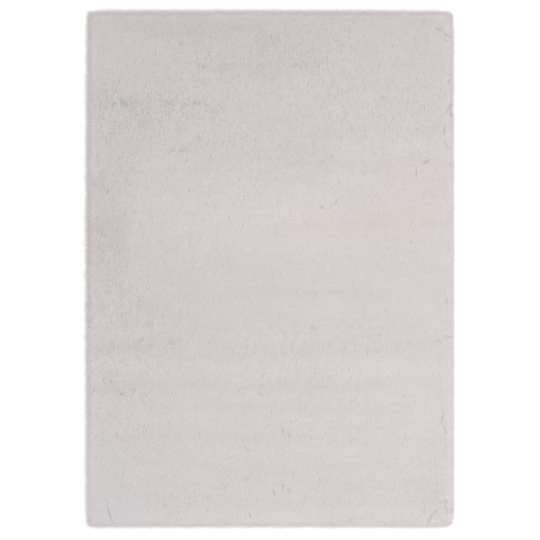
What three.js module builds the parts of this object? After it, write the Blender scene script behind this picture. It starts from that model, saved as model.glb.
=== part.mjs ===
// A faux fur rug lying flat: one dense plush slab with locks of pile round its rim.
// Millimetres, +Z up. X runs across the rug, Y along it. The origin is on the floor, at the middle.
import * as THREE from "three";

// Driving sizes
const WIDTH = 1200;
const LENGTH = 1682;
const PILE_TOP = 19;

// Corners, seen from above, each rounded by its own radius
const CORNER_RADIUS = { lowLeft: 21, lowRight: 39, topRight: 26, topLeft: 15 };
const LEAST_RADIUS = 4;

// How far each edge bows out of the nominal rectangle: from left to right, or from low to top
const EDGE_BOW = {
  low: { start: 0.3, middle: -1.1, end: 1.0 },
  top: { start: -0.3, middle: 1.0, end: -1.3 },
  left: { start: -0.3, middle: 0.6, end: -2.9 },
  right: { start: 0, middle: 0.2, end: -1.9 },
};

// The pile's rounded rim, from the floor up. An inset is measured inwards from the rug's edge.
const RIM = {
  root: { inset: 13, height: 0, uneven: 0 },
  brow: { inset: 7.5, height: 9, uneven: 4 },
  shoulder: { inset: 16, height: 16, uneven: 2.4 },
  crown: { inset: 34, height: PILE_TOP, uneven: 1.6 },
};

// Locks of pile round the rim, whose tips rest on the floor
const LOCKS_ACROSS = 60;
const LOCKS_ALONG = 84;
const LOCK_SET_BACK = 5;
const LOCK_LEAN = 0.45;

// The top face's cells are two locks wide
const LOCKS_PER_CELL = 2;
const CELLS_ACROSS = LOCKS_ACROSS / LOCKS_PER_CELL;
const CELLS_ALONG = LOCKS_ALONG / LOCKS_PER_CELL;

// Each cell's corners and middle rise or sink by up to half of this, as tufts of pile do
const TUFT_UNEVEN = 2.4;

// Broad lumps in the top face: waves, each with its rise, its length and its heading in degrees
const LUMPS = [
  { rise: 0.6, length: 430, heading: 12, start: 0.4 },
  { rise: 0.5, length: 290, heading: 104, start: 2.1 },
  { rise: 0.4, length: 210, heading: 147, start: 4.0 },
];

// Level bands where the nap lies over, so that the pile is a little lower
const NAP_BANDS = [
  { y: 520, halfWidth: 90, drop: 0.5 },
  { y: -378, halfWidth: 60, drop: 0.8 },
  { y: -600, halfWidth: 75, drop: 0.6 },
];

// The four sides, anticlockwise from the low left corner, each a quarter turn after the one before
const HALF_ACROSS = WIDTH / 2;
const HALF_ALONG = LENGTH / 2;
const sides = [
  { from: "lowLeft", to: "lowRight", half: HALF_ACROSS, out: HALF_ALONG, locks: LOCKS_ACROSS },
  { from: "lowRight", to: "topRight", half: HALF_ALONG, out: HALF_ACROSS, locks: LOCKS_ALONG },
  { from: "topRight", to: "topLeft", half: HALF_ACROSS, out: HALF_ALONG, locks: LOCKS_ACROSS },
  { from: "topLeft", to: "lowLeft", half: HALF_ALONG, out: HALF_ACROSS, locks: LOCKS_ALONG },
];

// A repeatable number from 0 to 1, so that no two neighbouring locks are alike
function unevenness(index, kind) {
  const wave = Math.sin(index * 12.9898 + kind * 78.233) * 43758.5453;
  return wave - Math.floor(wave);
}

// The curve through an edge's three bows, at a share of the way along it
function bowAt(bow, share) {
  const startPull = (1 - share) * (1 - 2 * share);
  const middlePull = 4 * share * (1 - share);
  const endPull = share * (2 * share - 1);
  return bow.start * startPull + bow.middle * middlePull + bow.end * endPull;
}

// A point of the nominal rectangle moved by the bow of the edges that it lies towards
function bowed(point) {
  const across = point.x / HALF_ACROSS;
  const along = point.y / HALF_ALONG;
  const sideBow = bowAt(across > 0 ? EDGE_BOW.right : EDGE_BOW.left, (along + 1) / 2);
  const endBow = bowAt(along > 0 ? EDGE_BOW.top : EDGE_BOW.low, (across + 1) / 2);
  return new THREE.Vector2(point.x + across * sideBow, point.y + along * endBow);
}

// A point on one side of the outline, set in by inset. The share runs from the middle of one
// corner's arc, along the straight edge, to the middle of the next corner's arc.
function outlinePoint(sideNumber, share, inset) {
  const side = sides[sideNumber];
  const half = side.half - inset;
  const out = side.out - inset;
  const startRadius = Math.max(CORNER_RADIUS[side.from] - inset, LEAST_RADIUS);
  const endRadius = Math.max(CORNER_RADIUS[side.to] - inset, LEAST_RADIUS);
  const startArc = (startRadius * Math.PI) / 4;
  const straight = 2 * half - startRadius - endRadius;
  const endArc = (endRadius * Math.PI) / 4;
  const travel = share * (startArc + straight + endArc);
  const point = new THREE.Vector2(-half + startRadius + travel - startArc, -out);
  if (travel < startArc) {
    const angle = (startArc - travel) / startRadius;
    point.x = -half + startRadius * (1 - Math.sin(angle));
    point.y = -out + startRadius * (1 - Math.cos(angle));
  } else if (travel > startArc + straight) {
    const angle = (travel - startArc - straight) / endRadius;
    point.x = half - endRadius * (1 - Math.sin(angle));
    point.y = -out + endRadius * (1 - Math.cos(angle));
  }
  return bowed(point.rotateAround(new THREE.Vector2(), (sideNumber * Math.PI) / 2));
}

// How high the pile stands above its mean height, from the lumps and the nap bands
function relief(x, y) {
  let rise = 0;
  for (const lump of LUMPS) {
    const heading = THREE.MathUtils.degToRad(lump.heading);
    const travel = x * Math.cos(heading) + y * Math.sin(heading);
    rise += lump.rise * Math.sin((2 * Math.PI * travel) / lump.length + lump.start);
  }
  for (const band of NAP_BANDS) {
    rise -= band.drop * Math.exp(-(((y - band.y) / band.halfWidth) ** 2));
  }
  return rise;
}

// The solid's vertices and triangles, which the functions below add to
const vertices = [];
const triangles = [];

function addVertex(x, y, z) {
  vertices.push(x, y, z);
  return vertices.length / 3 - 1;
}

// A ring of vertices round the rim at one of its levels, one for each step of so many locks
function addRing(level, locksPerStep, kind) {
  const ring = [];
  sides.forEach((side, sideNumber) => {
    for (let lock = 0; lock < side.locks; lock += locksPerStep) {
      const point = outlinePoint(sideNumber, lock / side.locks, level.inset);
      const lift = level.uneven * (unevenness(ring.length, kind) - 0.5);
      const lumps = (relief(point.x, point.y) * level.height) / PILE_TOP;
      ring.push(addVertex(point.x, point.y, level.height + lift + lumps));
    }
  });
  return ring;
}

// The tips of the locks, on the floor, each leaning a little along the rim
function addTips() {
  const tips = [];
  sides.forEach((side, sideNumber) => {
    for (let lock = 0; lock < side.locks; lock += 1) {
      const lean = LOCK_LEAN * (2 * unevenness(tips.length, 5) - 1);
      const setBack = LOCK_SET_BACK * unevenness(tips.length, 9) ** 2;
      const point = outlinePoint(sideNumber, (lock + 0.5 + lean) / side.locks, setBack);
      tips.push(addVertex(point.x, point.y, 0));
    }
  });
  return tips;
}

// One triangle from each edge of a closed loop of vertices to a peak
function addFan(loop, peak) {
  loop.forEach((corner, number) => {
    triangles.push(corner, loop[(number + 1) % loop.length], peak);
  });
}

// Four-sided locks between the root and brow rings. Each lock's lowest side lies on the floor.
function addLocks(root, brow, tips) {
  tips.forEach((tip, lock) => {
    const next = (lock + 1) % tips.length;
    addFan([root[lock], root[next], brow[next], brow[lock]], tip);
  });
}

// The slope between two rings with the same number of points
function addSlope(lower, upper) {
  lower.forEach((corner, number) => {
    const next = (number + 1) % lower.length;
    triangles.push(corner, lower[next], upper[next]);
    triangles.push(corner, upper[next], upper[number]);
  });
}

// The slope from a ring of lock corners up to a ring with one point for two locks
function addNarrowingSlope(lower, upper) {
  upper.forEach((corner, cell) => {
    const nextCorner = upper[(cell + 1) % upper.length];
    const first = lower[LOCKS_PER_CELL * cell];
    const middle = lower[LOCKS_PER_CELL * cell + 1];
    const last = lower[(LOCKS_PER_CELL * (cell + 1)) % lower.length];
    triangles.push(first, middle, corner);
    triangles.push(middle, last, nextCorner);
    triangles.push(middle, nextCorner, corner);
  });
}

// The vertex at a place of the top face's grid, if that place is on the crown ring
function crownVertex(crown, across, along) {
  const around = 2 * CELLS_ACROSS + 2 * CELLS_ALONG;
  if (along === 0) return crown[across];
  if (across === CELLS_ACROSS) return crown[CELLS_ACROSS + along];
  if (along === CELLS_ALONG) return crown[2 * CELLS_ACROSS + CELLS_ALONG - across];
  if (across === 0) return crown[around - along];
  return undefined;
}

function vertexPlace(vertex) {
  return new THREE.Vector2(vertices[3 * vertex], vertices[3 * vertex + 1]);
}

// A place inside the crown ring, blended from the four points of the ring in line with it
// and from the four corners
function placeInside(crown, across, along) {
  const u = across / CELLS_ACROSS;
  const v = along / CELLS_ALONG;
  const at = (i, j) => vertexPlace(crownVertex(crown, i, j));
  return new THREE.Vector2()
    .addScaledVector(at(across, 0), 1 - v)
    .addScaledVector(at(across, CELLS_ALONG), v)
    .addScaledVector(at(0, along), 1 - u)
    .addScaledVector(at(CELLS_ACROSS, along), u)
    .addScaledVector(at(0, 0), -(1 - u) * (1 - v))
    .addScaledVector(at(CELLS_ACROSS, 0), -u * (1 - v))
    .addScaledVector(at(0, CELLS_ALONG), -(1 - u) * v)
    .addScaledVector(at(CELLS_ACROSS, CELLS_ALONG), -u * v);
}

// A vertex of the top face, at its place and its own uneven height
function addTopVertex(place) {
  const tuft = TUFT_UNEVEN * (unevenness(vertices.length, 6) - 0.5);
  return addVertex(place.x, place.y, PILE_TOP + relief(place.x, place.y) + tuft);
}

// The lumpy top face, a grid whose edge is the crown ring, with a tuft in the middle of each cell
function addTop(crown) {
  const grid = [];
  for (let along = 0; along <= CELLS_ALONG; along += 1) {
    grid.push([]);
    for (let across = 0; across <= CELLS_ACROSS; across += 1) {
      const onRing = crownVertex(crown, across, along);
      grid[along].push(onRing ?? addTopVertex(placeInside(crown, across, along)));
    }
  }
  for (let along = 0; along < CELLS_ALONG; along += 1) {
    for (let across = 0; across < CELLS_ACROSS; across += 1) {
      const near = grid[along];
      const far = grid[along + 1];
      const cell = [near[across], near[across + 1], far[across + 1], far[across]];
      const middle = new THREE.Vector2();
      cell.forEach((corner) => middle.addScaledVector(vertexPlace(corner), 1 / cell.length));
      addFan(cell, addTopVertex(middle));
    }
  }
}

// The flat underside, within the root ring
function addUnderside(root) {
  const faces = THREE.ShapeUtils.triangulateShape(root.map(vertexPlace), []);
  for (const [a, b, c] of faces) {
    triangles.push(root[a], root[c], root[b]);
  }
}

function furGeometry() {
  const root = addRing(RIM.root, 1, 1);
  const brow = addRing(RIM.brow, 1, 2);
  const shoulder = addRing(RIM.shoulder, 1, 3);
  const crown = addRing(RIM.crown, LOCKS_PER_CELL, 4);
  addLocks(root, brow, addTips());
  addSlope(brow, shoulder);
  addNarrowingSlope(shoulder, crown);
  addTop(crown);
  addUnderside(root);
  const geometry = new THREE.BufferGeometry();
  geometry.setAttribute("position", new THREE.Float32BufferAttribute(vertices, 3));
  geometry.setIndex(triangles);
  geometry.computeVertexNormals();
  return geometry;
}

// Pale, slightly pink, warm grey plush
const plush = new THREE.MeshStandardMaterial({ color: 0xd2cbcb, roughness: 0.95, metalness: 0 });

const rug = new THREE.Group();
const fur = new THREE.Mesh(furGeometry(), plush);
fur.name = "fur_rug";
rug.add(fur);

export default rug;
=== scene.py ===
"""A faux fur rug lying flat on a pale floor, seen straight from above. Metres, in the part's frame."""
import math

import bpy
import numpy as np
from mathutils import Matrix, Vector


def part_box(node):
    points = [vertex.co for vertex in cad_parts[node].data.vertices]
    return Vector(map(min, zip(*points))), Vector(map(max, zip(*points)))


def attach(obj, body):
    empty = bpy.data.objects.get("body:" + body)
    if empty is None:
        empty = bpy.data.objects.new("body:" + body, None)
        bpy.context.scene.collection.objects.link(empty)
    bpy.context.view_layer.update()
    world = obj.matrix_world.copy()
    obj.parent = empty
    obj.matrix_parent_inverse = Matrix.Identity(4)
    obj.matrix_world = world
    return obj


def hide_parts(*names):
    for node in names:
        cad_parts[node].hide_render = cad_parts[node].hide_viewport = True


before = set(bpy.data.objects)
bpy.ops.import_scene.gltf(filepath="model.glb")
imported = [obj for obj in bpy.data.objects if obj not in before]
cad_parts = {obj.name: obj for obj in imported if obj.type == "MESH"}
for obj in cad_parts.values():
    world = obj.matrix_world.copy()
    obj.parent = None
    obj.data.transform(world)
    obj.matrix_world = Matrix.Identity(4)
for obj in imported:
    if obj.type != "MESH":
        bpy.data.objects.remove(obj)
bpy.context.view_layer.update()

# The rug's size, from the frame
RUG_NODE = "fur_rug"
rug_low, rug_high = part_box(RUG_NODE)
HALF_ACROSS = (rug_high.x - rug_low.x) / 2
HALF_ALONG = (rug_high.y - rug_low.y) / 2

# Where the rug lies in the photograph, whose side is 540 pixels
PHOTO_SIDE = 540
RUG_MIDDLE_PX = (269.2, 268.6)
RUG_ACROSS_PX = 369.6
METRES_PER_PX = 2 * HALF_ACROSS / RUG_ACROSS_PX

# The outline: each corner's radius, and how far each edge bows out of the rectangle at its
# start, middle and end, from left to right or from low to top
CORNER_RADIUS = {"low_left": 0.021, "low_right": 0.039, "top_right": 0.026, "top_left": 0.015}
LEAST_RADIUS = 0.004
EDGE_BOW = {
    "low": (0.0010, -0.0004, 0.0017),
    "top": (-0.0018, -0.0005, -0.0028),
    "left": (-0.0053, -0.0044, -0.0079),
    "right": (0.0030, 0.0032, 0.0011),
}

# The dense bed of pile under the strands' tips. Its rim rolls over like a quarter of an ellipse.
# No strand's tip stands higher than the pile's top or lies lower than its lowest point.
BED_TOP = 0.0125
PILE_TOP = 0.0245
PILE_LOWEST = 0.0002
BED_INSET = 0.010
ROLL_ACROSS = 0.022
BED_CELLS_ACROSS = 100
BED_CELLS_ALONG = 140
ROLL_STEPS = 7

# Broad lumps, as in the solid: rise, length, heading in degrees, start in radians
LUMPS = (
    (0.0006, 0.430, 12, 0.4),
    (0.0005, 0.290, 104, 2.1),
    (0.0004, 0.210, 147, 4.0),
)

# Level bands where the pile lies lower, as in the solid: middle, half width, drop
NAP_BANDS = (
    (0.520, 0.090, 0.0005),
    (-0.378, 0.060, 0.0008),
    (-0.600, 0.075, 0.0006),
)

# Small random ripples: rise, size, seed
RIPPLES = ((0.0003, 0.028, 11), (0.0002, 0.011, 12))

# The coat: fine strands that lean along the nap, one quarter of the rug a piece
COAT_SEED = 100
COAT_COLUMNS = 388
COAT_ROWS = 508
COAT_EDGE = 0.0108
STRAND_LENGTH = 0.0105
STRAND_WIDTH = 0.0013
NAP_HEADING_DEGREES = -90
NAP_LEAN = 0.78

# How the nap's heading wanders: degrees, size, seed
NAP_WANDER = ((9, 0.16, 31), (9, 0.030, 32))

# How single strands differ in lean, length, width and the way they face
LEAN_SCATTER = 0.08
MOST_LEAN = 0.93
LEAST_UPRIGHT_SQUARED = 0.05
LENGTH_SCATTER = 0.10
WIDTH_SCATTER = 0.15
FACING_SCATTER = 0.35
ROOT_DEPTH = 0.0008

# The normal that a strand is shaded by: how much of it is the bed's, straight up and its clump's
# dome, and how far the strand's two edges turn apart
NORMAL_BY_BED = 0.5
NORMAL_BY_UP = 0.5
NORMAL_BY_CLUMP = 0.07
NORMAL_BY_EDGE = 0.25

# The rim: rings of finer strands, which point outwards over the rolled edge and down to the
# floor. Each edge of the rug has its own reach, and its own painted light that colours its rim
# strands lighter against the shade on the rolled rim.
RIM_SEED = 200
RIM_RING_STRANDS = 20000
RIM_RINGS = 7
RIM_UP_TO_DEGREES = 45
RIM_ROOT_INSET = 0.0004
RIM_STRAND_LENGTH = 0.030
RIM_STRAND_WIDTH = 0.00027
RIM_LEAN = 0.70
SHORTEST_RIM_STRAND = 0.12
FEW_REACH_FAR = 3.0
RIM_REACH = {"left": 1.2, "right": 0.95, "top": 1.1, "low": 1.1}
RIM_PAINTED_LIGHT = {"left": 1.08, "right": 1.05, "top": 1.12, "low": 1.06}
RIM_UV_COLUMNS = 400

# Each strand has a cell of the texture to itself, less this margin, as a share of the cell
UV_MARGIN = 0.1

# Near the rim the strands turn from the nap's heading to the way out. They go clockwise where
# that way's heading is past the split, and anticlockwise where it isn't.
RIM_TURN_REACH = 0.034
TURN_SPLIT_DEGREES = 75
TURN_SPLIT_SCATTER = 12

# The pile's colour at the strands' tips and roots, with the roots painted darker as shade deep
# in the pile, and the share of the light that shines through
TIP_COLOUR = (0.841, 0.805, 0.8055)
SHADED_ROOT_COLOUR = (0.782, 0.75, 0.7505)
SHINES_THROUGH = 0.4

# A gap's painted shadow colour as a share of the roots' colour, how far the bed is painted
# towards it as shade under the strands, and how far up a strand the bed's own colour lies
GAP_SHADE = 0.22
BED_SHADE = 0.31
BED_ALONG = 0.6

# Sheen and gloss, with fine noise for the roughness and the bump
SHEEN = 0.25
SHEEN_ROUGHNESS = 0.5
SPECULAR = 0.2
FINE_NOISE_SCALE = 700.0
FINE_NOISE_DETAIL = 2.0
LEAST_ROUGHNESS = 0.74
MOST_ROUGHNESS = 0.96
BUMP_STRENGTH = 0.25
BUMP_HEIGHT = 0.0004

# Single strands and clumps differ a little in tone, more where the pile is ruffled and less at
# the rim
DARKEST_TINT = (0.79, 0.79, 0.79)
LIGHTEST_TINT = (1.19, 1.19, 1.19)
MIDDLE_TINT = 0.5
TINT_BY_CLUMP = 0.05
TINT_BY_STRAND = 0.19
LEAST_GRAIN = 0.46
GRAIN_BY_RUFFLE = 2.5
MOST_GRAIN = 1.8
RIM_GRAIN = 0.6

# Clumps of strands whose tips draw together. Their middle strands are the longest.
CLUMP_SEED = 21
CLUMP_ACROSS = 0.0048
CLUMP_ALONG = 0.0072
CLUMP_PULL = 0.12
CLUMP_MIDDLE_LENGTH = 1.1
CLUMP_EDGE_SHORTER = 0.28

# Creases are lines painted dark as shade, with a painted highlight on their low side. A strand
# is cut short where it crosses one, at any of these shares of its length, and takes its tone from
# the place where it shows most.
CREASE_HALF_WIDTH = 0.0015
CREASE_FADES_WITHIN = 4
CREASE_END_ANGLE = 1.2
CREASE_POINTS_PER_PX = 2
CREASE_PAINTED_HIGHLIGHT = 0.07
CREASE_CUT = 0.6
CROSSED_AT = (0.35, 0.6, 0.85)
SEEN_AT = 0.6

# Specks are small spots of painted shade where gaps of any heading part the clumps, at most one
# to a cell
SPECK_SEED = 51
SPECK_HALF_WIDTH = 0.0009
SPECK_HALF_LENGTH = 0.0018
SPECK_CELL = 0.0062
SPECK_DEPTH = 1.15

# Patches where the pile is more ruffled, with specks of painted shade between its clumps, from
# the top of the photograph down: middle and reach in its pixels, share of the cells with a speck
RUFFLED_PATCHES = (
    (240, 52, 95, 30, 0.22),
    (330, 60, 70, 34, 0.10),
    (425, 90, 25, 70, 0.10),
    (150, 108, 62, 20, 0.42),
    (360, 120, 60, 40, 0.08),
    (190, 150, 120, 60, 0.10),
    (110, 230, 28, 120, 0.14),
    (135, 330, 55, 50, 0.12),
    (330, 350, 90, 20, 0.08),
    (115, 400, 28, 50, 0.12),
    (260, 500, 140, 14, 0.04),
    (430, 500, 30, 40, 0.07),
)
SPECKS_EVERYWHERE = 0.015

# How much lighter the pile is painted towards the right and towards the low end than in the
# middle, in percent: painted light, as if the light fell more strongly there
PAINTED_LIGHT_TO_RIGHT = 1.3
PAINTED_LIGHT_TO_LOW = 3.2

# Faint level streaks in the nap, so many times longer than they are high: tone in percent,
# height, seed
STREAK_STRETCH = 7
STREAKS = ((1.0, 0.013, 65), (0.7, 0.006, 66))

# How far streaks and patches waver along the rug, and how far the pink patches waver besides:
# distance, size, seed
PATCH_WAVER = ((0.006, 0.12, 61), (0.003, 0.04, 62))
PINK_WAVER_ACROSS = ((0.012, 0.03, 63),)
PINK_WAVER_ALONG = ((0.008, 0.025, 64),)

# A patch is nearly level in its middle and soft at its ends, by these powers
PATCH_POWER_ACROSS = 4
PATCH_POWER_ALONG = 2.5

# Soft streaks and patches painted lighter or darker: partly the pile's own tone and partly painted
# light and shade where the nap lies otherwise, with darker rings along the top and right rims as
# painted shade where strands part. From the top of the photograph down: middle and reach in its
# pixels, and tone in percent
TONE_AND_SHADE_PATCHES = (
    (380, 17, 80, 7, -2.2),
    (270, 18, 185, 3, -1.8),
    (185, 27, 90, 8, -2.2),
    (270, 36, 90, 28, -1.0),
    (360, 48, 100, 32, -1.2),
    (100, 50, 24, 36, 1.6),
    (250, 66, 60, 6, -1.2),
    (125, 102, 60, 4, -1.6),
    (105, 120, 20, 45, 0.6),
    (385, 131, 60, 5, -1.4),
    (385, 148, 60, 6, 1.8),
    (300, 150, 40, 34, -1.2),
    (385, 165, 55, 5, -1.4),
    (390, 190, 80, 55, 1.6),
    (240, 215, 110, 40, 3.8),
    (104, 238, 22, 48, -3.6),
    (380, 242, 70, 7, 0.9),
    (250, 244, 60, 7, 0.7),
    (195, 250, 60, 60, -1.2),
    (448, 268, 3, 250, -3.4),
    (240, 272, 60, 5, -0.6),
    (390, 279, 60, 5, 1.2),
    (300, 294, 130, 5, -1.0),
    (135, 308, 30, 6, -1.0),
    (130, 334, 40, 4, 0.8),
    (180, 345, 60, 30, -0.8),
    (130, 347, 46, 7, -2.6),
    (380, 349, 70, 6, -1.2),
    (245, 355, 60, 5, -1.1),
    (130, 360, 45, 4, 1.2),
    (372, 365, 45, 18, 1.2),
    (270, 368, 190, 7, 1.1),
    (250, 386, 170, 5, -1.4),
    (110, 388, 30, 6, -1.6),
    (93, 392, 7, 7, -1.6),
    (270, 397, 140, 4, 0.6),
    (310, 409, 130, 4, -0.9),
    (380, 416, 65, 5, 1.0),
    (200, 420, 110, 5, 0.9),
    (380, 429, 60, 4, -0.6),
    (190, 438, 110, 5, -0.9),
    (270, 453, 170, 5, 0.6),
    (320, 465, 120, 4, -0.7),
    (390, 474, 60, 4, 0.7),
    (380, 486, 60, 4, -0.7),
    (430, 492, 24, 30, -1.6),
    (210, 501, 80, 4, -0.5),
    (380, 502, 70, 4, -1.3),
    (385, 511, 60, 4, 1.6),
    (200, 515, 115, 5, 2.2),
)

# The most that overlapping pink patches add up to, and what a pinker patch adds to the red and
# takes from the green and the blue
MOST_PINK = 2.6
COLOUR_BY_PINK = 0.45

# Patches that are pinker, and warmer or cooler, than the rest, from the top of the photograph
# down: middle and reach in its pixels, pinker and warmer in percent
PINK_PATCHES = (
    (150, 22, 60, 8, 2.2, 1.8),
    (218, 34, 45, 11, 3.2, 2.4),
    (350, 131, 30, 8, 1.4, 1.2),
    (385, 150, 55, 10, 0.8, 0.0),
    (412, 163, 30, 8, 1.4, 0.2),
    (412, 185, 40, 30, 2.4, 0.9),
    (290, 190, 34, 34, 2.0, -0.6),
    (232, 225, 60, 20, 2.2, -0.8),
    (365, 226, 85, 24, 2.4, 1.8),
    (108, 240, 26, 32, 2.0, 1.8),
    (412, 305, 38, 40, 2.0, -0.6),
    (222, 330, 30, 9, 1.8, 0.9),
    (385, 340, 50, 14, 1.6, 0.8),
    (322, 356, 44, 24, 2.2, -0.8),
    (93, 448, 7, 40, -1.8, -0.2),
    (106, 478, 28, 36, -0.9, 0.1),
    (110, 512, 28, 13, -2.4, -0.9),
)

# Creases where clumps part, from the top of the photograph down: middle and length in its
# pixels, heading and bend in degrees anticlockwise from its right, depth
CREASES = (
    (438, 29, 8, 175, -25, 1.0),
    (439, 30, 6, 170, 0, 0.8),
    (447, 36, 7, 150, 30, 0.8),
    (446, 41, 6, 160, 30, 0.6),
    (181, 44, 4, 30, 0, 0.7),
    (296, 66, 11, 5, -50, 0.6),
    (203, 67, 4, 150, 30, 0.6),
    (448, 82, 5, 80, 0, 0.9),
    (376, 92, 6, 160, 0, 0.4),
    (383, 97, 6, 150, -30, 0.5),
    (121, 101, 3, 120, 0, 1.0),
    (137, 102, 6, 175, 30, 0.6),
    (115, 103, 5, 170, 20, 1.0),
    (124, 103, 6, 10, -20, 1.0),
    (197, 103, 9, 175, -50, 0.9),
    (170, 104, 7, 5, -40, 0.6),
    (127, 105, 3, 40, 0, 0.9),
    (187, 105, 5, 160, 0, 0.5),
    (206, 105, 4, 140, 0, 0.6),
    (113, 106, 3, 60, 0, 0.9),
    (448, 108, 9, 65, 20, 1.0),
    (446, 113, 5, 30, 0, 0.6),
    (450, 115, 4, 95, 0, 0.8),
    (444, 130, 8, 85, 10, 0.9),
    (199, 138, 6, 150, 20, 0.6),
    (446, 145, 8, 120, 10, 0.7),
    (183, 150, 7, 10, -60, 0.6),
    (172, 151, 7, 20, -60, 0.6),
    (322, 162, 5, 160, 0, 0.5),
    (426, 162, 9, 25, -20, 0.9),
    (416, 173, 9, 85, 10, 0.8),
    (363, 173, 6, 165, -20, 0.5),
    (108, 191, 4, 60, 0, 0.8),
    (190, 191, 5, 120, 30, 0.5),
    (336, 202, 5, 60, -20, 1.0),
    (322, 207, 5, 150, 20, 0.9),
    (411, 223, 3, 90, 0, 0.7),
    (411, 242, 4, 160, 0, 0.7),
    (446, 301, 4, 60, 0, 0.8),
    (313, 327, 8, 0, -80, 0.5),
    (448, 337, 10, 178, 0, 0.7),
    (141, 340, 7, 30, -30, 0.6),
    (437, 341, 9, 15, -20, 0.4),
    (172, 343, 8, 160, 40, 0.5),
    (93, 392, 6, 60, 20, 0.6),
    (122, 393, 9, 150, -30, 0.7),
    (260, 394, 9, 155, 10, 0.6),
    (442, 418, 11, 80, 20, 0.6),
    (445, 430, 9, 110, -20, 0.6),
    (283, 431, 7, 110, 20, 0.9),
    (289, 435, 5, 150, 0, 0.6),
    (117, 435, 5, 100, 0, 0.9),
    (352, 440, 6, 30, 0, 0.4),
    (247, 449, 8, 160, 20, 0.5),
    (246, 479, 7, 20, -30, 0.4),
    (283, 486, 7, 100, 30, 0.9),
    (289, 490, 5, 150, 0, 0.6),
    (274, 492, 7, 120, 20, 0.8),
    (442, 501, 8, 20, 0, 0.5),
    (166, 505, 6, 160, -20, 0.5),
    (446, 508, 11, 105, 20, 0.7),
    (436, 510, 9, 45, 20, 0.5),
    (450, 511, 7, 60, 0, 0.6),
    (110, 514, 17, 110, -15, 0.7),
    (250, 515, 5, 130, 0, 0.7),
    (430, 518, 12, 62, 20, 0.7),
    (89, 520, 3, 90, 0, 1.0),
)

# Tufts painted lighter, as painted highlights where splayed strands catch the light, most of them
# at the low right corner: as the creases, but with how much lighter in place of the depth
PAINTED_HIGHLIGHT_TUFTS = (
    (446, 45, 9, 172, 0, 0.1),
    (446, 52, 8, 170, 0, 0.08),
    (447, 87, 5, 70, 0, 0.1),
    (441, 165, 9, 95, 10, 0.08),
    (421, 168, 7, 20, 0, 0.08),
    (442, 462, 9, 150, 0, 0.08),
    (445, 497, 10, 15, -20, 0.22),
    (437, 506, 8, 50, 0, 0.12),
    (449, 514, 10, 115, 20, 0.2),
    (443, 517, 9, 130, 20, 0.14),
)

# The floor, the light and the camera
FLOOR_COLOUR = (0.9, 0.9, 0.9)
FLOOR_ROUGHNESS = 0.9
FLOOR_REACH = 15
FLOOR_DROP = 0.0005
SURROUND_STRENGTH = 1.1
KEY_ENERGY = 65.3
KEY_SIZE = 3.4
KEY_PLACE = (0.9, -0.1, 3.4)
CAMERA_LENS = 180
CAMERA_SENSOR = 36

# The random tables under the noise and the scattered spots repeat after so many cells
TABLE_SIDE = 256


def place(x_px, y_px):
    """A photograph pixel as a place on the rug."""
    x = (x_px - RUG_MIDDLE_PX[0]) * METRES_PER_PX
    y = (RUG_MIDDLE_PX[1] - y_px) * METRES_PER_PX
    return x, y


def smooth(low, high, value):
    """From 0 at low to 1 at high, with soft ends."""
    share = np.clip((value - low) / (high - low), 0, 1)
    return share * share * (3 - 2 * share)


def unit(vectors):
    """The same directions with length 1."""
    least = 1e-12
    return vectors / np.maximum(np.linalg.norm(vectors, axis=-1, keepdims=True), least)


def soft_noise(x, y, size, seed):
    """Smooth random waves from -1 to 1 over the floor plan, about twice size from crest to crest."""
    side = TABLE_SIDE
    table = np.random.default_rng(seed).uniform(-1, 1, (side, side))
    column = np.floor(x / size).astype(int)
    row = np.floor(y / size).astype(int)
    u = smooth(0, 1, x / size - column)
    v = smooth(0, 1, y / size - row)
    lower = table[column % side, row % side] * (1 - u)
    lower += table[(column + 1) % side, row % side] * u
    upper = table[column % side, (row + 1) % side] * (1 - u)
    upper += table[(column + 1) % side, (row + 1) % side] * u
    return lower * (1 - v) + upper * v


def waves(x, y, rows):
    """Soft noises added up, one for each row of height, size and seed."""
    return sum(height * soft_noise(x, y, size, seed) for height, size, seed in rows)


def bow_at(bow, share):
    """The curve through an edge's three bows, at a share of the way along it."""
    start, middle, end = bow
    start_pull = (1 - share) * (1 - 2 * share)
    end_pull = share * (2 * share - 1)
    return start * start_pull + middle * 4 * share * (1 - share) + end * end_pull


def bow_moves(x, y):
    """How far the bowed edges move a point of the plain rectangle, along X and along Y."""
    across = x / HALF_ACROSS
    along = y / HALF_ALONG
    side = np.where(
        across > 0,
        bow_at(EDGE_BOW["right"], (along + 1) / 2),
        bow_at(EDGE_BOW["left"], (along + 1) / 2),
    )
    end = np.where(
        along > 0,
        bow_at(EDGE_BOW["top"], (across + 1) / 2),
        bow_at(EDGE_BOW["low"], (across + 1) / 2),
    )
    return across * side, along * end


def inset_and_outward(x, y):
    """How far inside the outline each point lies, and the level direction out of the rug there."""
    move_x, move_y = bow_moves(x, y)
    x = x - move_x
    y = y - move_y
    low = np.where(x < 0, CORNER_RADIUS["low_left"], CORNER_RADIUS["low_right"])
    top = np.where(x < 0, CORNER_RADIUS["top_left"], CORNER_RADIUS["top_right"])
    radius = np.where(y < 0, low, top)
    past_x = np.abs(x) - HALF_ACROSS + radius
    past_y = np.abs(y) - HALF_ALONG + radius
    beyond = np.hypot(np.maximum(past_x, 0), np.maximum(past_y, 0))
    inset = radius - beyond - np.minimum(np.maximum(past_x, past_y), 0)
    pull_x = smooth(-RIM_TURN_REACH, RIM_TURN_REACH / 2, past_x) * np.sign(x)
    pull_y = smooth(-RIM_TURN_REACH, RIM_TURN_REACH / 2, past_y) * np.sign(y)
    return inset, unit(np.stack([pull_x, pull_y], -1))


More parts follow.
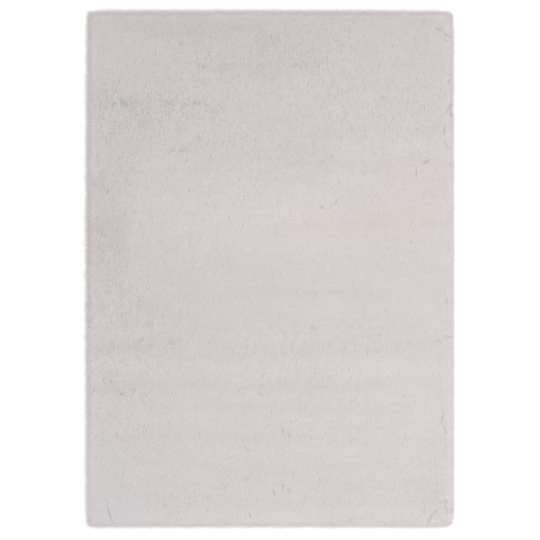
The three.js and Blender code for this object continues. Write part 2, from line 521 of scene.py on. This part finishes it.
def outline_points(side_number, share, inset):
    """Points on one side of the outline, anticlockwise from the low left, set in by inset."""
    names = ("low_left", "low_right", "top_right", "top_left")
    half, out = (HALF_ACROSS, HALF_ALONG) if side_number % 2 == 0 else (HALF_ALONG, HALF_ACROSS)
    half = half - inset
    out = out - inset
    start_radius = max(CORNER_RADIUS[names[side_number]] - inset, LEAST_RADIUS)
    end_radius = max(CORNER_RADIUS[names[(side_number + 1) % 4]] - inset, LEAST_RADIUS)
    start_arc = start_radius * math.pi / 4
    end_arc = end_radius * math.pi / 4
    straight = 2 * half - start_radius - end_radius
    travel = share * (start_arc + straight + end_arc)
    start_angle = np.maximum(start_arc - travel, 0) / start_radius
    end_angle = np.maximum(travel - start_arc - straight, 0) / end_radius
    flat = np.clip(travel - start_arc, 0, straight)
    x = -half + start_radius * (1 - np.sin(start_angle)) + flat + end_radius * np.sin(end_angle)
    y = -out + start_radius * (1 - np.cos(start_angle)) + end_radius * (1 - np.cos(end_angle))
    for _ in range(side_number):
        x, y = -y, x
    move_x, move_y = bow_moves(x, y)
    return np.stack([x + move_x, y + move_y], -1)


def relief(x, y):
    """How high the pile stands above its mean height."""
    rise = np.zeros_like(x)
    for lump_rise, length, heading, start in LUMPS:
        travel = x * math.cos(math.radians(heading)) + y * math.sin(math.radians(heading))
        rise += lump_rise * np.sin(2 * math.pi * travel / length + start)
    for band_y, half_width, drop in NAP_BANDS:
        rise -= drop * np.exp(-(((y - band_y) / half_width) ** 2))
    return rise + waves(x, y, RIPPLES)


def bed_surface(x, y):
    """The bed's height and upward normal at each point, with the inset and the way out."""
    inset, outward = inset_and_outward(x, y)
    share = np.clip((inset - BED_INSET) / ROLL_ACROSS, 0, 1)
    rise = np.sqrt(1 - (1 - share) ** 2)
    height = rise * (BED_TOP + relief(x, y))
    level = outward * ((1 - share) / ROLL_ACROSS)[..., None]
    normal = unit(np.concatenate([level, (rise / BED_TOP)[..., None]], -1))
    return height, normal, inset, outward


def build_mesh(name, points, corners, sizes, material):
    """An object from its points, its faces' corners in one row and each face's number of corners."""
    mesh = bpy.data.meshes.new(name)
    mesh.vertices.add(len(points))
    mesh.vertices.foreach_set("co", points.astype(np.float32).ravel())
    mesh.loops.add(len(corners))
    mesh.loops.foreach_set("vertex_index", corners.astype(np.int32))
    mesh.polygons.add(len(sizes))
    starts = np.concatenate([[0], np.cumsum(sizes)[:-1]])
    mesh.polygons.foreach_set("loop_start", starts.astype(np.int32))
    mesh.update(calc_edges=True)
    mesh.materials.append(material)
    piece = bpy.data.objects.new(name, mesh)
    bpy.context.scene.collection.objects.link(piece)
    return piece


def set_strand_facts(mesh, along, tint, shade_in_gap, tones_with_light):
    """Stores for the material how far up its strand each point lies, its tint and how deep in a
    gap it is, which sets its painted shade, and the tone of the pile there, with painted light and
    shade in it."""
    facts = mesh.attributes.new("strand", "FLOAT_VECTOR", "POINT")
    facts.data.foreach_set("vector", np.stack([along, tint, shade_in_gap], -1).astype(np.float32).ravel())
    colours = mesh.attributes.new("tone_and_painted_light", "FLOAT_VECTOR", "POINT")
    colours.data.foreach_set("vector", tones_with_light.astype(np.float32).ravel())


# The bed

def bed_ring(inset, shares_across, shares_along):
    """Points all round the outline, set in by inset."""
    shares = (shares_across, shares_along, shares_across, shares_along)
    return np.concatenate([outline_points(side, share, inset) for side, share in enumerate(shares)])


def bed_grid(inset):
    """A grid of points within a ring, blended from the ring's points in line with each."""
    u = np.linspace(0, 1, BED_CELLS_ACROSS + 1)
    v = np.linspace(0, 1, BED_CELLS_ALONG + 1)
    low = outline_points(0, u, inset)[None, :]
    right = outline_points(1, v, inset)[:, None]
    top = outline_points(2, u, inset)[::-1][None, :]
    left = outline_points(3, v, inset)[::-1][:, None]
    u = u[None, :, None]
    v = v[:, None, None]
    corners = (1 - u) * (1 - v) * low[:, :1] + u * (1 - v) * low[:, -1:]
    corners = corners + (1 - u) * v * top[:, :1] + u * v * top[:, -1:]
    return (1 - v) * low + v * top + (1 - u) * left + u * right - corners


def make_bed(material):
    """The closed body of the dense pile, flat underneath, with a rolled rim and a lumpy top."""
    shares_across = np.arange(BED_CELLS_ACROSS) / BED_CELLS_ACROSS
    shares_along = np.arange(BED_CELLS_ALONG) / BED_CELLS_ALONG
    around = 2 * (BED_CELLS_ACROSS + BED_CELLS_ALONG)
    rings = []
    for step in range(ROLL_STEPS):
        angle = math.pi / 2 * step / ROLL_STEPS
        inset = BED_INSET + ROLL_ACROSS * (1 - math.cos(angle))
        level = bed_ring(inset, shares_across, shares_along)
        height = math.sin(angle) * (BED_TOP + relief(level[:, 0], level[:, 1]))
        rings.append(np.column_stack([level, height]))
    grid = bed_grid(BED_INSET + ROLL_ACROSS)
    flat = grid.reshape(-1, 2)
    top = np.column_stack([flat, BED_TOP + relief(flat[:, 0], flat[:, 1])])
    points = np.concatenate([*rings, top])
    across = BED_CELLS_ACROSS + 1
    first = ROLL_STEPS * around
    place_of = first + np.arange(len(flat)).reshape(BED_CELLS_ALONG + 1, across)
    crown = np.concatenate([
        place_of[0, :-1],
        place_of[:-1, -1],
        place_of[-1, :0:-1],
        place_of[:0:-1, 0],
    ])
    loops = [np.arange(around) + ring * around for ring in range(ROLL_STEPS)] + [crown]
    quads = []
    for lower, upper in zip(loops, loops[1:]):
        quads.append(np.stack([lower, np.roll(lower, -1), np.roll(upper, -1), upper], -1))
    cells = [place_of[:-1, :-1], place_of[:-1, 1:], place_of[1:, 1:], place_of[1:, :-1]]
    quads.append(np.stack(cells, -1).reshape(-1, 4))
    quads = np.concatenate(quads)
    underside = loops[0][::-1]
    corners = np.concatenate([quads.ravel(), underside])
    sizes = np.concatenate([np.full(len(quads), 4), [len(underside)]])
    bed = build_mesh("pile_bed", points, corners, sizes, material)
    bed.data.polygons.foreach_set("use_smooth", np.arange(len(sizes)) < len(quads))
    ones = np.ones(len(points))
    tones_with_light = tone_and_painted_light(points[:, 0], points[:, 1])
    # Painted shade: the bed is coloured part way towards the gaps' shadow colour, as shade under the
    # strands
    set_strand_facts(bed.data, BED_ALONG * ones, MIDDLE_TINT * ones, BED_SHADE * ones, tones_with_light)
    return bed


# The strands

def nearest_spot(x, y, across, along, seed):
    """The way to the nearest of a scatter of spots, one to each cell of this size, the distance
    in cell sizes, and two numbers of the spot's own from 0 to 1."""
    side = TABLE_SIDE
    draws = np.random.default_rng(seed).uniform(0, 1, (side, side, 4))
    column = np.floor(x / across).astype(int)
    row = np.floor(y / along).astype(int)
    least = np.full(x.shape, np.inf)
    found = np.zeros((*x.shape, 4))
    for step_x in (-1, 0, 1):
        for step_y in (-1, 0, 1):
            draw = draws[(column + step_x) % side, (row + step_y) % side]
            away_x = (column + step_x + draw[..., 0]) * across - x
            away_y = (row + step_y + draw[..., 1]) * along - y
            apart = np.hypot(away_x / across, away_y / along)
            here = np.stack([away_x, away_y, draw[..., 2], draw[..., 3]], -1)
            nearer = apart < least
            least = np.where(nearer, apart, least)
            found = np.where(nearer[..., None], here, found)
    return found[..., 0], found[..., 1], least, found[..., 2], found[..., 3]


def apart_from(x, y, row):
    """How far each point is from a patch's middle, across and along, measured in its reaches."""
    x_px, y_px, reach_x, reach_y = row[:4]
    middle_x, middle_y = place(x_px, y_px)
    apart_x = (x - middle_x) / (reach_x * METRES_PER_PX)
    apart_y = (y - middle_y) / (reach_y * METRES_PER_PX)
    return apart_x, apart_y


def ruffle_share(x, y):
    """The share of cells with a speck, over the floor plan."""
    share = np.full(x.shape, SPECKS_EVERYWHERE)
    for row in RUFFLED_PATCHES:
        apart_x, apart_y = apart_from(x, y, row)
        share += row[4] * np.exp(-(apart_x ** 2 + apart_y ** 2))
    return share


def patch(x, y, row):
    """How near each point is to a patch's middle, from 0 to 1."""
    apart_x, apart_y = apart_from(x, y, row)
    across = np.abs(apart_x) ** PATCH_POWER_ACROSS
    along = np.abs(apart_y) ** PATCH_POWER_ALONG
    return np.exp(-(across + along))


def tone_and_painted_light(x, y):
    """The pile's tone over the floor plan, with painted light and shade in it, as a multiplier of
    each of its three colours.
    """
    y = y + waves(x, y, PATCH_WAVER)
    # Painted light: the pile is coloured lighter towards the right and the low end
    light = PAINTED_LIGHT_TO_RIGHT * x / HALF_ACROSS - PAINTED_LIGHT_TO_LOW * y / HALF_ALONG
    # Patches of the pile's own tone and of painted light and shade
    light += sum(row[4] * patch(x, y, row) for row in TONE_AND_SHADE_PATCHES)
    light += waves(x / STREAK_STRETCH, y, STREAKS)
    x = x + waves(x, y, PINK_WAVER_ACROSS)
    y = y + waves(x, y, PINK_WAVER_ALONG)
    pink = sum(row[4] * patch(x, y, row) for row in PINK_PATCHES)
    warm = sum(row[5] * patch(x, y, row) for row in PINK_PATCHES)
    pink = MOST_PINK * np.tanh(pink / MOST_PINK)
    warm = MOST_PINK * np.tanh(warm / MOST_PINK)
    red = light + COLOUR_BY_PINK * pink
    green = light - COLOUR_BY_PINK * pink
    blue = light - COLOUR_BY_PINK * pink - warm
    return 1 + np.stack([red, green, blue], -1) / 100


def shade_specks(x, y):
    """How deep the painted shade of small gaps between clumps is, from 0 to 1."""
    to_x, to_y, _, chance, turn = nearest_spot(x, y, SPECK_CELL, SPECK_CELL, SPECK_SEED)
    heading = math.pi * turn
    along = to_x * np.cos(heading) + to_y * np.sin(heading)
    aside = to_y * np.cos(heading) - to_x * np.sin(heading)
    share = ruffle_share(x, y)
    depth = np.clip(SPECK_DEPTH - chance / share, 0, 1)
    apart = np.hypot(along / SPECK_HALF_LENGTH, aside / SPECK_HALF_WIDTH)
    return depth * np.exp(-apart ** 2)


def crease_line(x_px, y_px, length_px, heading, bend):
    """Points along a crease, which is an arc."""
    middle_x, middle_y = place(x_px, y_px)
    share = np.linspace(-0.5, 0.5, CREASE_POINTS_PER_PX * length_px + 1)
    angle = np.radians(heading + bend * share)
    step = METRES_PER_PX / CREASE_POINTS_PER_PX
    line_x = np.cumsum(np.cos(angle)) * step
    line_y = np.cumsum(np.sin(angle)) * step
    return line_x - line_x.mean() + middle_x, line_y - line_y.mean() + middle_y


def lines(x, y, rows):
    """How strong the nearest of these lines is, soft at its sides and ends."""
    depth = np.zeros_like(x)
    for x_px, y_px, length_px, heading, bend, most in rows:
        line_x, line_y = crease_line(x_px, y_px, length_px, heading, bend)
        reach = length_px * METRES_PER_PX + CREASE_FADES_WITHIN * CREASE_HALF_WIDTH
        near = np.nonzero(np.hypot(x - line_x.mean(), y - line_y.mean()) < reach)[0]
        away = np.hypot(x[near, None] - line_x, y[near, None] - line_y)
        ends = np.cos(np.linspace(-CREASE_END_ANGLE, CREASE_END_ANGLE, len(line_x)))
        here = (most * ends * np.exp(-(away / CREASE_HALF_WIDTH) ** 2)).max(-1)
        depth[near] = np.maximum(depth[near], here)
    return depth


def painted_gap_shade(x, y):
    """How deep the painted shade in gaps and creases between clumps is, from 0 to 1."""
    return np.maximum(shade_specks(x, y), lines(x, y, CREASES))


def grain(x, y, inset):
    """How much single strands differ, which is more where the pile is ruffled, less at the rim."""
    ruffled = np.clip(LEAST_GRAIN + GRAIN_BY_RUFFLE * ruffle_share(x, y), 0, MOST_GRAIN)
    return ruffled * (RIM_GRAIN + (1 - RIM_GRAIN) * smooth(BED_INSET, 2 * RIM_TURN_REACH, inset))


def lean_level(x, y, inset, outward, split):
    """How far the strands lean over the floor plan: along the nap, and outwards at the rim. The
    split is a heading in degrees, one for each strand."""
    wander = waves(x, y, NAP_WANDER)
    out = np.degrees(np.arctan2(outward[..., 1], outward[..., 0]))
    start = split - 360
    turn = (out - start) % 360 + start - NAP_HEADING_DEGREES
    turned = smooth(RIM_TURN_REACH, BED_INSET, inset)
    heading = np.radians(NAP_HEADING_DEGREES + wander + turn * turned)
    lean = NAP_LEAN + (RIM_LEAN - NAP_LEAN) * turned
    return lean[..., None] * np.stack([np.cos(heading), np.sin(heading)], -1)


def make_strands(name, shapes, cells, material):
    """Straight tapered strands in one mesh, each a triangle that faces up out of the pile."""
    root, lead, side, normal, width, facts = shapes
    count = len(root)
    half = side * (width / 2)[:, None]
    points = np.stack([root - half, root + half, root + lead], 1)
    points[..., 2] = np.clip(points[..., 2], PILE_LOWEST, PILE_TOP)
    corners = np.arange(3 * count)
    piece = build_mesh(name, points.reshape(-1, 3), corners, np.full(count, 3), material)
    mesh = piece.data
    along = np.tile([0.0, 0.0, 1.0], (count, 1))
    turned = np.array([-1.0, 1.0, 0.0])[None, :, None]
    normals = normal[:, None, :] + NORMAL_BY_EDGE * side[:, None, :] * turned
    normals = unit(normals).reshape(-1, 3)
    tint, shade_in_gap, tones_with_light = facts
    tint = np.repeat(tint[:, None], 3, axis=1)
    set_strand_facts(mesh, along, tint, shade_in_gap, np.repeat(tones_with_light, 3, axis=0))
    column, row, columns, rows = cells
    u = column[:, None] + np.array([UV_MARGIN, 1 - UV_MARGIN, 0.5])
    v = row[:, None] + np.array([UV_MARGIN, UV_MARGIN, 1 - UV_MARGIN])
    uv = np.stack([u / columns, v / rows], -1)
    layer = mesh.uv_layers.new(name="OFBake")
    layer.uv.foreach_set("vector", uv.astype(np.float32).ravel())
    mesh.polygons.foreach_set("use_smooth", np.ones(count, bool))
    mesh.normals_split_custom_set_from_vertices(normals)
    return piece


def strand_shapes(x, y, rng, length, width, pull):
    """Where strands stand and how they lean, for roots at these places of the floor plan. The pull
    is how far the tips draw towards the middle of their clump."""
    height, normal, inset, outward = bed_surface(x, y)
    split = TURN_SPLIT_DEGREES + rng.normal(0, TURN_SPLIT_SCATTER, len(x))
    level = lean_level(x, y, inset, outward, split)
    to_x, to_y, apart, number, _ = nearest_spot(x, y, CLUMP_ACROSS, CLUMP_ALONG, CLUMP_SEED)
    level = level + rng.normal(0, LEAN_SCATTER, (len(x), 2))
    size = np.linalg.norm(level, axis=-1, keepdims=True)
    level = level / np.maximum(size / MOST_LEAN, 1)
    level = np.concatenate([level, np.zeros((len(x), 1))], -1)
    level = level - normal * (level * normal).sum(-1, keepdims=True)
    upright_squared = 1 - (level ** 2).sum(-1, keepdims=True)
    upright = np.sqrt(np.maximum(upright_squared, LEAST_UPRIGHT_SQUARED))
    length = length * (1 + rng.normal(0, LENGTH_SCATTER, len(x)))
    length = length * (CLUMP_MIDDLE_LENGTH - CLUMP_EDGE_SHORTER * apart)
    lead = (level + normal * upright) * length[:, None]
    lead[:, 0] += pull * to_x
    lead[:, 1] += pull * to_y
    seen_x = x + SEEN_AT * lead[:, 0]
    seen_y = y + SEEN_AT * lead[:, 1]
    crossed = np.zeros(len(x))
    for share in CROSSED_AT:
        here = lines(x + share * lead[:, 0], y + share * lead[:, 1], CREASES)
        crossed = np.maximum(crossed, here)
    lead = lead * (1 - CREASE_CUT * crossed)[:, None]
    # Painted shade of the gaps and creases, where the strand's root and tip lie
    root_gap_shade = painted_gap_shade(x, y)
    tip_gap_shade = painted_gap_shade(x + lead[:, 0], y + lead[:, 1])
    shade_in_gap = np.stack([root_gap_shade, root_gap_shade, tip_gap_shade], -1)
    root = np.stack([x, y, height - ROOT_DEPTH], -1)
    around = rng.uniform(0, 2 * math.pi, len(x))
    any_way = np.stack([np.cos(around), np.sin(around), 0 * around], -1)
    side = unit(unit(np.cross(lead, normal)) + FACING_SCATTER * any_way)
    face = np.cross(side, lead)
    side = unit(np.cross(lead, face))
    dome = np.stack([-to_x / CLUMP_ACROSS, -to_y / CLUMP_ALONG, 0 * x], -1)
    up = np.array([0.0, 0.0, 1.0])
    shade_normal = unit(NORMAL_BY_BED * normal + NORMAL_BY_UP * up + NORMAL_BY_CLUMP * dome)
    width = width * (1 + rng.normal(0, WIDTH_SCATTER, len(x)))
    tint = TINT_BY_CLUMP * (number - 0.5) + rng.normal(0, TINT_BY_STRAND, len(x))
    tint = np.clip(MIDDLE_TINT + tint * grain(x, y, inset), 0, 1)
    # Painted highlight: a lighter strip just past each crease's low side
    painted_lit_edge = CREASE_PAINTED_HIGHLIGHT * lines(seen_x, seen_y + 2 * CREASE_HALF_WIDTH, CREASES)
    # Painted highlights on the tufts and beside the creases lighten the strand's tone
    painted_highlight = 1 + lines(seen_x, seen_y, PAINTED_HIGHLIGHT_TUFTS) + painted_lit_edge
    tones_with_light = tone_and_painted_light(seen_x, seen_y) * painted_highlight[:, None]
    return root, lead, side, shade_normal, width, (tint, shade_in_gap, tones_with_light)


def make_coat_quarter(name, corner_x, corner_y, material):
    """The coat over one quarter of the rug, whose corner has these signs."""
    seed = COAT_SEED + (corner_x > 0) + 2 * (corner_y > 0)
    rng = np.random.default_rng(seed)
    columns = np.arange(COAT_COLUMNS)
    rows = np.arange(COAT_ROWS)
    column, row = (grid.ravel() for grid in np.meshgrid(columns, rows))
    x = (column + rng.uniform(0, 1, column.shape)) / COAT_COLUMNS * HALF_ACROSS * corner_x
    y = (row + rng.uniform(0, 1, row.shape)) / COAT_ROWS * HALF_ALONG * corner_y
    kept = inset_and_outward(x, y)[0] > COAT_EDGE
    shapes = strand_shapes(x[kept], y[kept], rng, STRAND_LENGTH, STRAND_WIDTH, CLUMP_PULL)
    cells = (column[kept], row[kept], COAT_COLUMNS, COAT_ROWS)
    return make_strands(name, shapes, cells, material)


def make_rim(material):
    """Fine strands all round the rolled rim, some of which reach far out over the floor."""
    rng = np.random.default_rng(RIM_SEED)
    spots = []
    reaches = []
    lights = []
    sides = ("low", "right", "top", "left")
    lengths = (HALF_ACROSS, HALF_ALONG, HALF_ACROSS, HALF_ALONG)
    for level in range(RIM_RINGS):
        angle = math.radians(RIM_UP_TO_DEGREES) * (level + 0.5) / RIM_RINGS
        inset = BED_INSET + ROLL_ACROSS * (1 - math.cos(angle)) + RIM_ROOT_INSET
        for number, (side, length) in enumerate(zip(sides, lengths)):
            count = round(RIM_RING_STRANDS * length / sum(lengths))
            share = (np.arange(count) + rng.uniform(0, 1, count)) / count
            spots.append(outline_points(number, share, inset))
            longer = 1 - SHORTEST_RIM_STRAND
            draw = SHORTEST_RIM_STRAND + longer * rng.uniform(0, 1, count) ** FEW_REACH_FAR
            reaches.append(RIM_REACH[side] * draw)
            lights.append(np.full(count, RIM_PAINTED_LIGHT[side]))
    spots = np.concatenate(spots)
    length = RIM_STRAND_LENGTH * np.concatenate(reaches)
    shapes = strand_shapes(spots[:, 0], spots[:, 1], rng, length, RIM_STRAND_WIDTH, 0)
    tones_with_light = shapes[-1][2]
    # Painted light: each edge's rim strands are coloured lighter against the shade on the rim
    tones_with_light *= np.concatenate(lights)[:, None]
    rows = math.ceil(len(spots) / RIM_UV_COLUMNS)
    number = np.arange(len(spots))
    cells = (number % RIM_UV_COLUMNS, number // RIM_UV_COLUMNS, RIM_UV_COLUMNS, rows)
    return make_strands("rim_locks", shapes, cells, material)


# Materials

def add_node(tree, kind, **values):
    """A node of a kind. Values are its own settings, or its inputs by name."""
    node = tree.nodes.new(kind)
    for name, value in values.items():
        if name in node.inputs:
            node.inputs[name].default_value = value
        else:
            setattr(node, name, value)
    return node


def join(tree, source, target):
    """A link from one node's output to another's input."""
    tree.links.new(source, target)


def socket(sockets, identifier):
    """The socket with this identifier, where several share a name."""
    return next(found for found in sockets if found.identifier == identifier)


def mixed_colour(tree, factor, first, second, blend="MIX"):
    """The mix of two colours, each a value or a socket, by a factor that is a number or a socket."""
    node = add_node(tree, "ShaderNodeMix", data_type="RGBA", blend_type=blend)
    for identifier, value in (("Factor_Float", factor), ("A_Color", first), ("B_Color", second)):
        target = socket(node.inputs, identifier)
        if isinstance(value, bpy.types.NodeSocket):
            join(tree, value, target)
        elif identifier == "Factor_Float":
            target.default_value = value
        else:
            target.default_value = (*value, 1)
    return socket(node.outputs, "Result_Color")


def plush_material(name, through):
    """Soft matt pile: painted darker at its roots and in gaps, as shade deep in the pile, with faint
    patches of tone and of painted light and shade, and strands that differ a little. Through is the
    share of the light that shines through it."""
    material = bpy.data.materials.new(name)
    material.use_nodes = True
    tree = material.node_tree
    shader = tree.nodes["Principled BSDF"]
    shader.inputs["Sheen Weight"].default_value = SHEEN
    shader.inputs["Sheen Roughness"].default_value = SHEEN_ROUGHNESS
    shader.inputs["Specular IOR Level"].default_value = SPECULAR
    facts = add_node(tree, "ShaderNodeAttribute", attribute_name="strand")
    parts = add_node(tree, "ShaderNodeSeparateXYZ")
    join(tree, facts.outputs["Vector"], parts.inputs[0])
    # Painted shade: the roots are coloured darker than the tips, as shade deep in the pile
    colour = mixed_colour(tree, parts.outputs["X"], SHADED_ROOT_COLOUR, TIP_COLOUR)
    # Painted shade: gaps, creases, specks and the bed are coloured towards this dark shadow colour
    painted_shadow = tuple(GAP_SHADE * part for part in SHADED_ROOT_COLOUR)
    colour = mixed_colour(tree, parts.outputs["Z"], colour, painted_shadow)
    tinted = mixed_colour(tree, parts.outputs["Y"], DARKEST_TINT, LIGHTEST_TINT)
    colour = mixed_colour(tree, 1.0, colour, tinted, "MULTIPLY")
    # The tone attribute holds the pile's tone with painted light and shade in it
    tones_with_light = add_node(tree, "ShaderNodeAttribute", attribute_name="tone_and_painted_light")
    colour = mixed_colour(tree, 1.0, colour, tones_with_light.outputs["Color"], "MULTIPLY")
    join(tree, colour, shader.inputs["Base Color"])
    places = add_node(tree, "ShaderNodeTexCoord")
    noise = add_node(tree, "ShaderNodeTexNoise", Scale=FINE_NOISE_SCALE, Detail=FINE_NOISE_DETAIL)
    join(tree, places.outputs["Object"], noise.inputs["Vector"])
    roughness = add_node(tree, "ShaderNodeMapRange")
    roughness.inputs["To Min"].default_value = LEAST_ROUGHNESS
    roughness.inputs["To Max"].default_value = MOST_ROUGHNESS
    join(tree, noise.outputs[0], roughness.inputs["Value"])
    join(tree, roughness.outputs["Result"], shader.inputs["Roughness"])
    bump = add_node(tree, "ShaderNodeBump", Strength=BUMP_STRENGTH, Distance=BUMP_HEIGHT)
    join(tree, noise.outputs[0], bump.inputs["Height"])
    join(tree, bump.outputs["Normal"], shader.inputs["Normal"])
    if through > 0:
        beyond = add_node(tree, "ShaderNodeBsdfTranslucent")
        join(tree, colour, beyond.inputs["Color"])
        both = add_node(tree, "ShaderNodeMixShader")
        both.inputs[0].default_value = through
        join(tree, shader.outputs[0], both.inputs[1])
        join(tree, beyond.outputs[0], both.inputs[2])
        join(tree, both.outputs[0], tree.nodes["Material Output"].inputs["Surface"])
    return material


def floor_material():
    """Plain, pale and matt."""
    material = bpy.data.materials.new("floor")
    material.use_nodes = True
    shader = material.node_tree.nodes["Principled BSDF"]
    shader.inputs["Base Color"].default_value = (*FLOOR_COLOUR, 1)
    shader.inputs["Roughness"].default_value = FLOOR_ROUGHNESS
    return material


# The studio

def make_floor():
    """A wide level floor, a hair below the rug's underside."""
    corner_signs = np.array([(-1, -1), (1, -1), (1, 1), (-1, 1)])
    points = np.column_stack([FLOOR_REACH * corner_signs, np.full(4, -FLOOR_DROP)])
    floor = build_mesh("floor", points, np.arange(4), np.array([4]), floor_material())


def make_light():
    """A white surround and one wide soft lamp overhead."""
    world = bpy.data.worlds.new("studio")
    bpy.context.scene.world = world
    world.use_nodes = True
    background = world.node_tree.nodes["Background"]
    background.inputs["Color"].default_value = (1, 1, 1, 1)
    background.inputs["Strength"].default_value = SURROUND_STRENGTH
    key = bpy.data.lights.new("key", "AREA")
    key.energy = KEY_ENERGY
    key.size = KEY_SIZE
    lamp = bpy.data.objects.new("key", key)
    lamp.location = KEY_PLACE
    lamp.rotation_euler = (-lamp.location).to_track_quat("-Z", "Y").to_euler()
    bpy.context.scene.collection.objects.link(lamp)


def make_camera():
    """Straight above, framed as the photograph is."""
    camera = bpy.data.cameras.new("camera")
    camera.lens = CAMERA_LENS
    camera.sensor_width = CAMERA_SENSOR
    frame_side = PHOTO_SIDE * METRES_PER_PX
    middle_x, middle_y = place(PHOTO_SIDE / 2, PHOTO_SIDE / 2)
    holder = bpy.data.objects.new("camera", camera)
    holder.location = (middle_x, middle_y, frame_side * camera.lens / camera.sensor_width)
    bpy.context.scene.collection.objects.link(holder)
    bpy.context.scene.camera = holder
    bpy.context.scene.view_settings.view_transform = "Standard"


make_camera()
make_light()
make_floor()

coat_material = plush_material("plush_strands", SHINES_THROUGH)
bed_material = plush_material("plush_bed", 0)
bed = make_bed(bed_material)
coat = [
    make_coat_quarter("coat_low_left", -1, -1, coat_material),
    make_coat_quarter("coat_low_right", 1, -1, coat_material),
    make_coat_quarter("coat_top_left", -1, 1, coat_material),
    make_coat_quarter("coat_top_right", 1, 1, coat_material),
]
rim = make_rim(coat_material)
for piece in (bed, *coat, rim):
    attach(piece, "root")
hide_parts(RUG_NODE)
